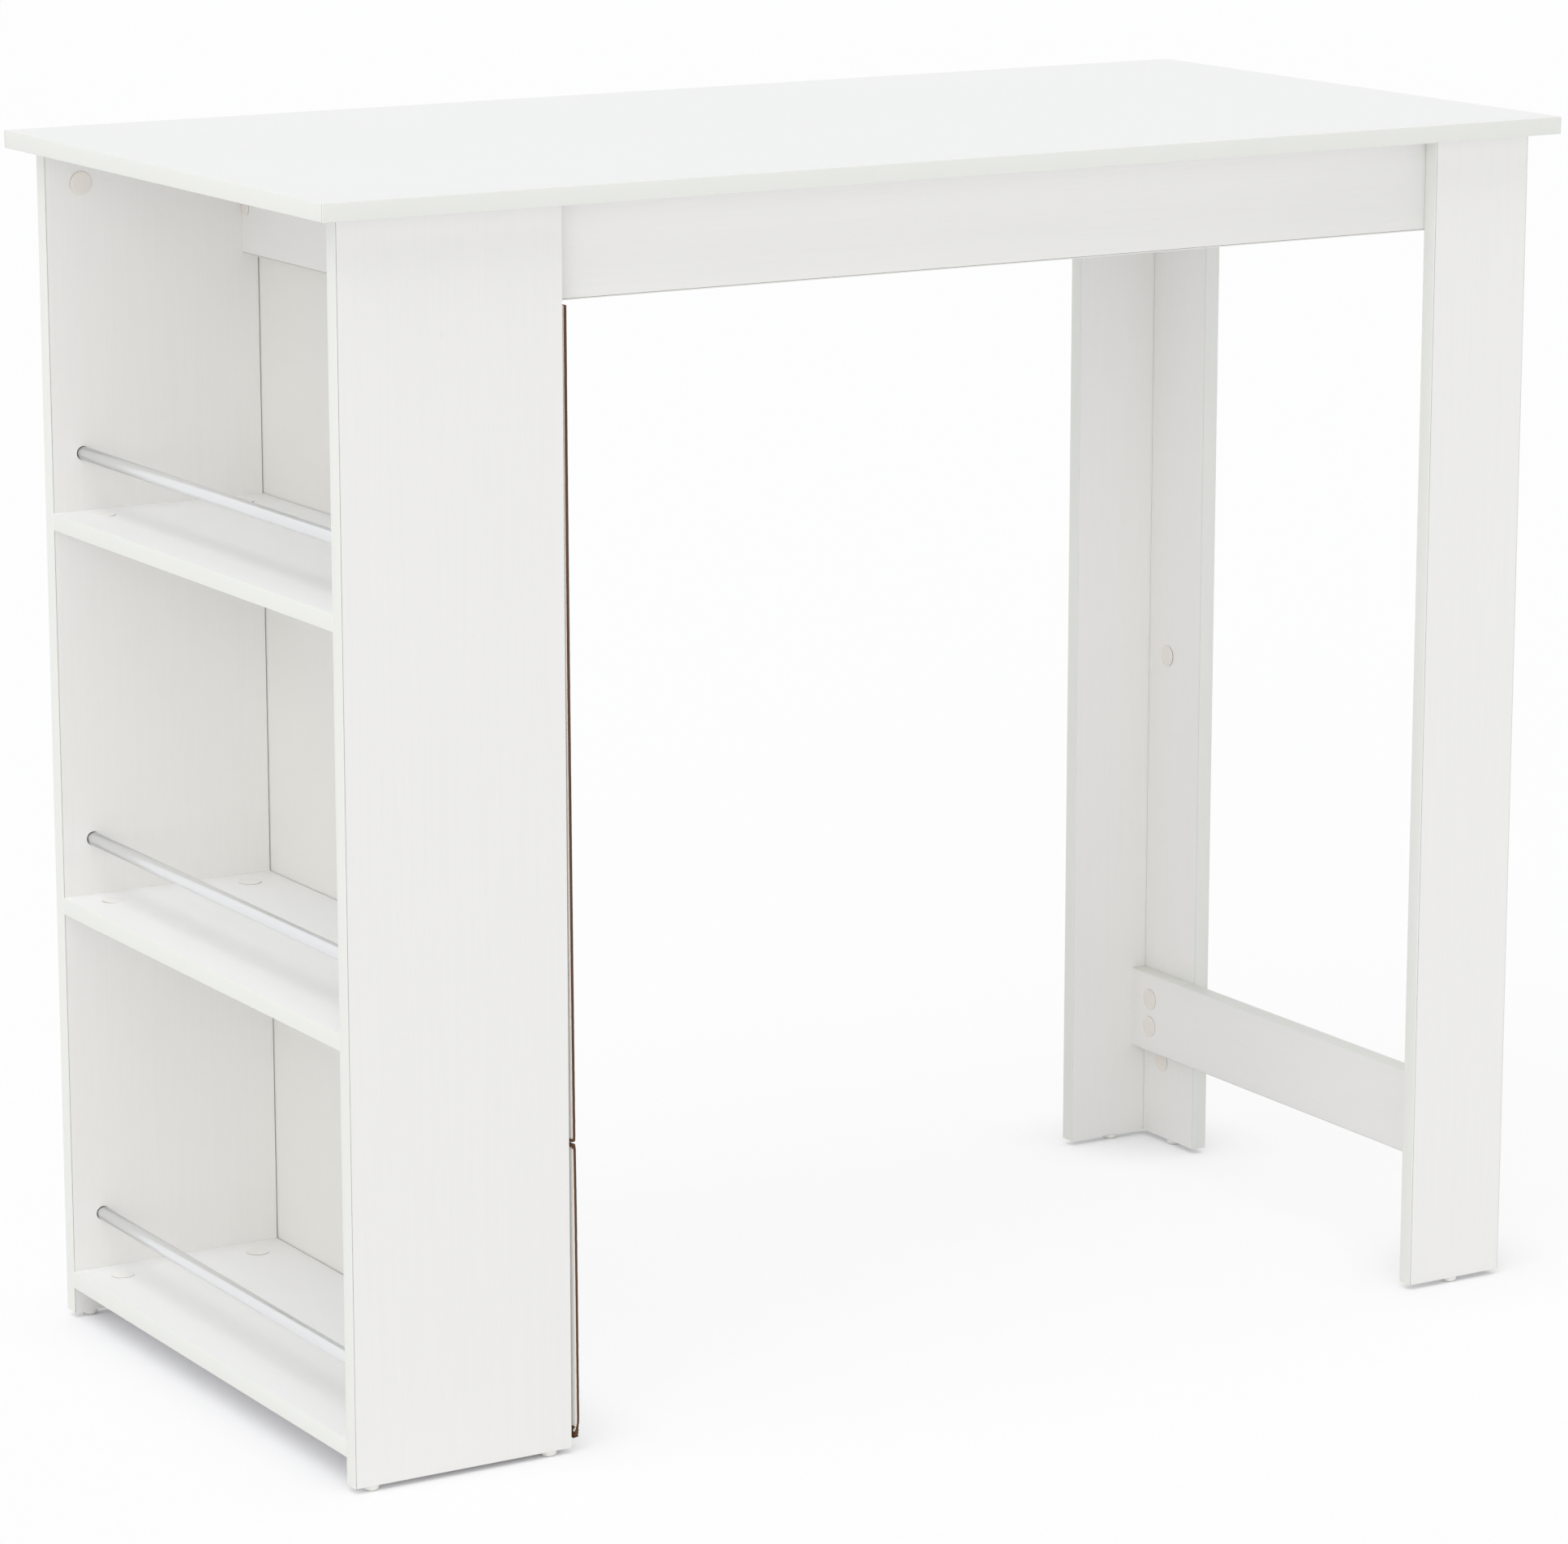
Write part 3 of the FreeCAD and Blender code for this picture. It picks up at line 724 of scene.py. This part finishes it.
class MakeEdging(bpy.types.Operator):
    """Lay rounded edging strips on the open edges of the boards"""

    bl_idname = "bar_table.make_edging"
    bl_label = "Edging"

    def execute(self, context):
        for node, strips in STRIPS.items():
            piece = join([self.make(*strip) for strip in strips], f"rounded_{node}")
            smooth(piece)
            settle(piece, "white_edging", node)
        return {"FINISHED"}

    def make(self, board, axis, sign):
        low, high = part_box(board)
        edge = (low if sign < 0 else high)[axis]
        outer = edge + sign * EDGING_THICKNESS
        low[axis], high[axis] = sorted((edge, outer))
        if board == "tabletop" and axis == Y:
            low.x -= EDGING_THICKNESS
            high.x += EDGING_THICKNESS

        def outside(*ends):
            return max(abs(end[axis] - outer) for end in ends) < TOUCH

        strip = add_block(f"strip_{board}", low, high)
        with editing(strip):
            pick_edges(strip, outside)
            bpy.ops.mesh.bevel(offset=settings().shapes.edging_round, segments=4, affect="EDGES")
        dress(strip, finish("white_edging", build_edging), finish("joint_line", build_glue_and_painted_shade_line))
        if board == "tabletop" and axis == X:
            # The ends of these strips meet the long strips in a fine line of glue and painted shade
            for face in strip.data.polygons:
                face.material_index = int(abs(face.normal.y) > 0.3)
        return strip


def back_gap(y, z):
    """How far the back stands off the panels: its front edge curls outwards, most at the bottom."""
    shapes = settings().shapes
    if z > BACK_JOINT:
        share = ((BACK_HIGH - z) / (BACK_HIGH - BACK_JOINT)) ** 1.5
        near = shapes.back_gap_high + (shapes.back_gap_joint - shapes.back_gap_high) * share
    else:
        share = math.sqrt((BACK_JOINT - z) / (BACK_JOINT - BACK_LOW))
        near = shapes.back_gap_joint + (shapes.back_gap_low - shapes.back_gap_joint) * share
    curl = math.exp(-(y + BACK_SIDE) / shapes.back_curl)
    return shapes.back_gap + (near - shapes.back_gap) * curl


class MakeBack(bpy.types.Operator):
    """Make the two thin leaves of the back, bowed and with raw edges, and the profile between them"""

    bl_idname = "bar_table.make_back"
    bl_label = "Back"

    def execute(self, context):
        for leaf in ("lower", "upper"):
            self.make_leaf(leaf)
        self.make_profile()
        return {"FINISHED"}

    def make_leaf(self, leaf):
        shapes = settings().shapes
        node = f"{leaf}_back_panel"
        low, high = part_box(node)
        low.y -= shapes.back_reach
        span, middle = high - low, (low + high) / 2
        middle.x = BACK_PLANE
        piece = add("grid", f"bowed_{node}", size=1, scale=(span.z, span.y, 1), location=middle,
                    rotation=(0, math.pi / 2, 0), x_subdivisions=round(span.z / BACK_STEP),
                    y_subdivisions=round(span.y / BACK_STEP))
        ends = self.worn_ends(leaf, low, high)
        self.cut_finely(piece, low.y, ends)
        for vertex in piece.data.vertices:
            vertex.co += self.fray(vertex.co, low, high) + self.wear(vertex.co, low.y, ends)
            vertex.co.x = BACK_PLANE + back_gap(vertex.co.y, vertex.co.z)
        outward = 1 if piece.data.polygons[0].normal.x > 0 else -1
        dress(piece, finish("back_face", build_back_face), finish("back_edge", build_back_edge))
        apply_modifier(
            piece, "SOLIDIFY", thickness=BACK_THICKNESS, offset=outward, material_offset_rim=RAW)
        with editing(piece):
            bpy.ops.mesh.select_all(action="SELECT")
            bpy.ops.mesh.normals_make_consistent(inside=False)
        self.lap_coat(piece)
        self.chip_coat(piece, low.y, ends)
        smooth(piece)
        settle(piece, "back_board", node)

    def worn_ends(self, leaf, low, high):
        """The broken ends of a leaf's front edge: height, way into the leaf and share of the wear."""
        joint = settings().shapes.joint_wear
        return [(low.z, 1, 1), (high.z, -1, joint)] if leaf == "lower" else [(low.z, 1, joint)]

    def cut_finely(self, piece, front, ends):
        """Cut more rows and columns into a leaf where its edge curls or is broken."""
        shapes = settings().shapes
        steps = range(1, FINE_CUTS + 1)
        columns = [front + shapes.corner_reach * (step / FINE_CUTS) ** 1.5 for step in steps]
        rows = [height + way * share * shapes.corner_reach * step / FINE_CUTS
                for height, way, share in ends for step in steps]
        with editing(piece):
            for place, facing_along in [(y, Y) for y in columns] + [(z, Z) for z in rows]:
                bpy.ops.mesh.select_all(action="SELECT")
                normal = [float(axis == facing_along) for axis in range(3)]
                bpy.ops.mesh.bisect(plane_co=[place * part for part in normal], plane_no=normal)
            pick_edges(piece, lambda start, end: max(start.y, end.y) < front + TOUCH)
            bpy.ops.mesh.subdivide(number_cuts=3)

    def fray(self, point, low, high):
        """How far a point on the rim of a leaf is worn inwards."""
        rim = Vector((0, (point.y < low.y + TOUCH) - (point.y > high.y - TOUCH),
                      (point.z < low.z + TOUCH) - (point.z > high.z - TOUCH)))
        coarse, fine = (noise.noise(point * waves) for waves in FRAY_WAVES)
        return rim * settings().shapes.back_fray * (0.5 + 0.5 * (coarse + 0.5 * fine))

    def wear(self, point, front, ends):
        """How far a point near a broken end of the front edge is pushed inwards."""
        shapes = settings().shapes
        depth = max(0, 1 - (point.y - front) / shapes.corner_reach)
        worn = Vector()
        for height, way, share in ends:
            near = max(0, 1 - way * (point.z - height) / (share * shapes.corner_reach))
            back = 0.7 + noise.noise((0, 0, point.z * WEAR_WAVES))
            inward = way * (0.15 + 0.6 * noise.noise((0, point.y * WEAR_WAVES, height)))
            worn += Vector((0, back, inward)) * shapes.corner_fray * share * near * depth
        return worn

    def chip_coat(self, piece, front, ends):
        """Take the coat off the broken ends, up to a ragged line."""
        shapes = settings().shapes
        for face in piece.data.polygons:
            at_front = face.center.y < front + shapes.corner_reach
            ragged = 1 + 0.6 * noise.noise(face.center * CHIP_WAVES)
            for height, way, share in ends:
                away = way * (face.center.z - height)
                if at_front and away < shapes.chip_height * share * ragged:
                    face.material_index = RAW

    def lap_coat(self, piece):
        """Let the coat of the inner face lap over its rim."""
        rims = {}
        for face in piece.data.polygons:
            for key in face.edge_keys:
                rims.setdefault(key, []).append(face)
        inner = {key for key, faces in rims.items() if len(faces) == 2
                 and {face.material_index for face in faces} == {COAT, RAW}
                 and min(face.normal.x for face in faces) < -0.9}
        with editing(piece):
            bpy.ops.mesh.select_mode(type="EDGE")
            bpy.ops.object.mode_set(mode="OBJECT")
            for edge in piece.data.edges:
                edge.select = edge.key in inner
            bpy.ops.object.mode_set(mode="EDIT")
            bpy.ops.mesh.bevel(
                offset=settings().shapes.back_coat, segments=2, affect="EDGES", material=COAT)

    def make_profile(self):
        node = "back_joint_profile"
        piece = copy_of_node(node, f"full_width_{node}")
        reach = (BACK_SIDE - settings().shapes.profile_inset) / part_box(node)[1].y
        for vertex in piece.data.vertices:
            vertex.co.y *= reach
            vertex.co.x += back_gap(vertex.co.y, BACK_JOINT)
        tone = settings().colours.profile
        dress(piece, finish("profile_plastic", build_plastic, tone, 0.4))
        smooth(piece)
        settle(piece, "profile_plastic", node)


class MakeNails(bpy.types.Operator):
    """Drive the nails that hold the back along the panels, the shelves and the cabinet rail"""

    bl_idname = "bar_table.make_nails"
    bl_label = "Nails"

    def execute(self, context):
        shapes = settings().shapes
        nail = add("cylinder", "nail", vertices=12, radius=shapes.nail_head / 2,
                   depth=shapes.nail_height)
        with editing(nail):
            pick_edges(nail, lambda start, end: min(start.z, end.z) > 0)
            bpy.ops.mesh.bevel(offset=shapes.nail_height * NAIL_ROUND, segments=2, affect="EDGES")
        places = []
        for y, z in self.spots():
            outside = BACK_PLANE + back_gap(y, z) + BACK_THICKNESS
            places.append(facing((1, 0, 0), (outside + shapes.nail_height * NAIL_STAND, y, z)))
        piece = copies(nail, places, "back_nails")
        dress(piece, finish("zinc", build_zinc))
        smooth(piece)
        settle(piece, "fitting_metal")
        return {"FINISHED"}

    def spots(self):
        """Where the nails go, as Y and Z on the back."""
        pitch = settings().shapes.nail_pitch
        panel_low, panel_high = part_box("rear_side_panel")
        column = (panel_low.y + panel_high.y) / 2
        for foot, head in ((BACK_LOW, BACK_JOINT), (BACK_JOINT, BACK_HIGH)):
            rows = max(2, round((head - foot) / pitch))
            for row in range(rows):
                z = foot + (head - foot) * (row + 0.5) / rows
                yield -column, z
                yield column, z
        rail_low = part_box("cabinet_rail")[0].z
        lines = [sum(corner.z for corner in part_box(f"{level}_shelf")) / 2 for level in LEVELS]
        lines.append((rail_low + BACK_HIGH) / 2)
        across = round(2 * column / pitch)
        for z in lines:
            for number in range(1, across):
                yield -column + 2 * column * number / across, z


class MakeRails(bpy.types.Operator):
    """Draw the three metal tubes in front of the shelves"""

    bl_idname = "bar_table.make_rails"
    bl_label = "Shelf rails"

    def execute(self, context):
        shapes = settings().shapes
        for level in LEVELS:
            node = f"{level}_shelf_rail"
            low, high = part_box(node)
            piece = add("cylinder", f"{level}_tube", vertices=64, radius=(high.z - low.z) / 2,
                        depth=high.y - low.y, end_fill_type="NOTHING", location=(low + high) / 2,
                        rotation=(math.pi / 2, 0, 0))
            apply_modifier(piece, "SOLIDIFY", thickness=shapes.rail_wall, offset=-1)
            apply_modifier(piece, "BEVEL", width=shapes.rail_break, segments=2, limit_method="ANGLE",
                           angle_limit=math.radians(60))
            dress(piece, finish("rail_metal", build_rail))
            smooth(piece)
            settle(piece, "rail_metal", node, body=f"{level}_rail")
        return {"FINISHED"}


class MakeCaps(bpy.types.Operator):
    """Press slightly domed caps over the fittings"""

    bl_idname = "bar_table.make_caps"
    bl_label = "Cover caps"

    def execute(self, context):
        for node in ("cover_caps", "screw_caps"):
            self.make(node)
        return {"FINISHED"}

    def make(self, node):
        seats = {"cap": [], "shelf_cap": []}
        for low, high in solids_of(node):
            middle, span = (low + high) / 2, high - low
            thin = min(range(3), key=lambda axis: span[axis])
            direction = {X: (-1, 0, 0), Y: (0, -math.copysign(1, middle.y), 0), Z: (0, 0, 1)}[thin]
            kind = "shelf_cap" if thin == Z else "cap"
            seat = facing(direction, middle - Vector(direction) * span[thin] / 2)
            seats[kind].append(seat @ self.crooked(middle))
            radius, thickness = max(span) / 2, span[thin]
        groups = []
        for kind, places in seats.items():
            if places:
                cap = self.model(radius, thickness)
                tone = getattr(settings().colours, kind)
                dress(cap, finish(f"{kind}_plastic", build_plastic, tone, 0.42),
                      finish("joint_line", build_glue_and_painted_shade_line))
                # The wall of a cap takes the dark line: painted shade for the shadow round the cap
                for face in cap.data.polygons:
                    face.material_index = int(face.normal.z < 0.1)
                groups.append(copies(cap, places, kind))
        piece = join(groups, f"domed_{node}")
        smooth(piece, 40)
        settle(piece, "cap_plastic", node)

    def crooked(self, place):
        """A small turn, different for each place, that lifts one side of a cap."""
        lean, first, second = (noise.noise(place * waves) for waves in TILT_WAVES)
        return Matrix.Rotation(settings().shapes.cap_tilt * (0.5 + lean), 4, (first, second + TOUCH, 0))

    def model(self, radius, thickness):
        shapes = settings().shapes
        rim_height = thickness - shapes.cap_dome
        cap = add("cylinder", "cap", vertices=48, radius=radius, depth=rim_height,
                  location=(0, 0, rim_height / 2))
        with editing(cap):
            pick_edges(cap, lambda start, end: min(start.z, end.z) > rim_height / 2)
            bpy.ops.mesh.bevel(offset=shapes.cap_round, segments=3, affect="EDGES")
            pick_faces(cap, lambda centre, normal: normal.z > FLAT)
            for width, rise in CAP_RINGS:
                bpy.ops.mesh.inset(thickness=radius * width, depth=shapes.cap_dome * rise)
        return cap


class MakeFeet(bpy.types.Operator):
    """Turn the plastic feet with a rounded lower rim"""

    bl_idname = "bar_table.make_feet"
    bl_label = "Feet"

    def execute(self, context):
        for node in ("cabinet_feet", "leg_feet"):
            boxes = solids_of(node)
            places = [Matrix.Translation(((low.x + high.x) / 2, (low.y + high.y) / 2, low.z))
                      for low, high in boxes]
            span = boxes[0][1] - boxes[0][0]
            piece = copies(self.model(span.x / 2, span.z), places, f"turned_{node}")
            dress(piece, finish("foot_plastic", build_foot))
            smooth(piece, 40)
            settle(piece, "foot_plastic", node)
        return {"FINISHED"}

    def model(self, radius, height):
        foot = add("cylinder", "foot", vertices=40, radius=radius, depth=height,
                   location=(0, 0, height / 2))
        with editing(foot):
            pick_edges(foot, lambda start, end: max(start.z, end.z) < height / 2)
            bpy.ops.mesh.bevel(offset=settings().shapes.foot_round, segments=6, affect="EDGES")
        return foot


class FinishFittings(bpy.types.Operator):
    """Give the fittings inside the boards their metal and wood"""

    bl_idname = "bar_table.finish_fittings"
    bl_label = "Fittings"

    def execute(self, context):
        metal = "fitting_metal", finish("zinc", build_zinc)
        wood = "dowel_wood", finish("beech", build_beech)
        made_of = {"cam_locks": metal, "cam_bolts": metal, "apron_screws": metal, "dowels": wood}
        for node, (slot, material) in made_of.items():
            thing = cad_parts[node]
            thing.material_slots[0].material = material
        return {"FINISHED"}


class SetStage(bpy.types.Operator):
    """Set the floor, the light and the camera"""

    bl_idname = "bar_table.set_stage"
    bl_label = "Stage"

    def execute(self, context):
        context.scene.view_settings.view_transform = "Standard"
        self.lay_floor()
        self.light_sky(context.scene)
        studio = settings().studio
        self.hang_lamp(studio.key_level, studio.key_turn, studio.key_tilt)
        self.hang_lamp(studio.top_level, studio.top_turn, studio.top_tilt)
        self.hang_lamp(studio.fill_level, studio.fill_turn, studio.fill_tilt)
        self.place_camera(context.scene)
        return {"FINISHED"}

    def lay_floor(self):
        floor = add("plane", "floor", size=FLOOR_SIZE)
        dress(floor, finish("floor", build_floor))
        floor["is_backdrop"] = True

    def light_sky(self, scene):
        scene.world = bpy.data.worlds.new("sky")
        shader = Shader(scene.world)
        light = shader.node("ShaderNodeBackground", sockets={
            "Color": SKY_TINT, "Strength": settings().studio.sky_level})
        plain = shader.node("ShaderNodeBackground", sockets={"Color": WHITE, "Strength": 1.0})
        mixed = shader.node("ShaderNodeMixShader", sockets={0: shader.looked_at(), 1: light, 2: plain})
        shader.node("ShaderNodeOutputWorld", sockets={"Surface": mixed})

    def hang_lamp(self, strength, turn, tilt):
        bpy.ops.object.light_add(
            type="SUN", location=(0, 0, LAMP_HEIGHT), rotation=(tilt, 0, -turn))
        lamp = bpy.context.object.data
        lamp.energy = strength
        lamp.angle = settings().studio.lamp_spread

    def place_camera(self, scene):
        studio = settings().studio
        bpy.ops.object.camera_add(
            location=studio.camera_place,
            rotation=(math.pi / 2 - studio.camera_pitch, 0, -studio.camera_turn))
        scene.camera = bpy.context.object
        scene.camera.data.sensor_width = SENSOR_WIDTH
        scene.camera.data.lens = studio.lens
        scene.camera.data.clip_end = CLIP_END


STEPS = (
    MakeBoards, MakeEdging, MakeBack, MakeNails, MakeRails, MakeCaps, MakeFeet, FinishFittings,
    SetStage)


class BAR_TABLE_PT_steps(bpy.types.Panel):
    """The steps and settings in the sidebar"""

    bl_label = "Bar Table"
    bl_space_type = "VIEW_3D"
    bl_region_type = "UI"
    bl_category = "Bar Table"

    def draw(self, context):
        for step in STEPS:
            self.layout.operator(step.bl_idname)
        for group in (settings().shapes, settings().colours, settings().studio):
            box = self.layout.box()
            for key in group.__annotations__:
                box.prop(group, key)


CLASSES = (TableShapes, TableColours, StudioSettings, TableSettings, *STEPS, BAR_TABLE_PT_steps)


def register():
    for made in CLASSES:
        bpy.utils.register_class(made)
    bpy.types.Scene.bar_table = PointerProperty(type=TableSettings)


def unregister():
    del bpy.types.Scene.bar_table
    for made in reversed(CLASSES):
        bpy.utils.unregister_class(made)


def main():
    register()
    for step in STEPS:
        group, name = step.bl_idname.split(".")
        getattr(getattr(bpy.ops, group), name)()
    boxes = {"cad": cad_box, "visual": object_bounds()}
    {name: [list(corner) for corner in box] for name, box in boxes.items()}


if __name__ == "__main__":
    main()
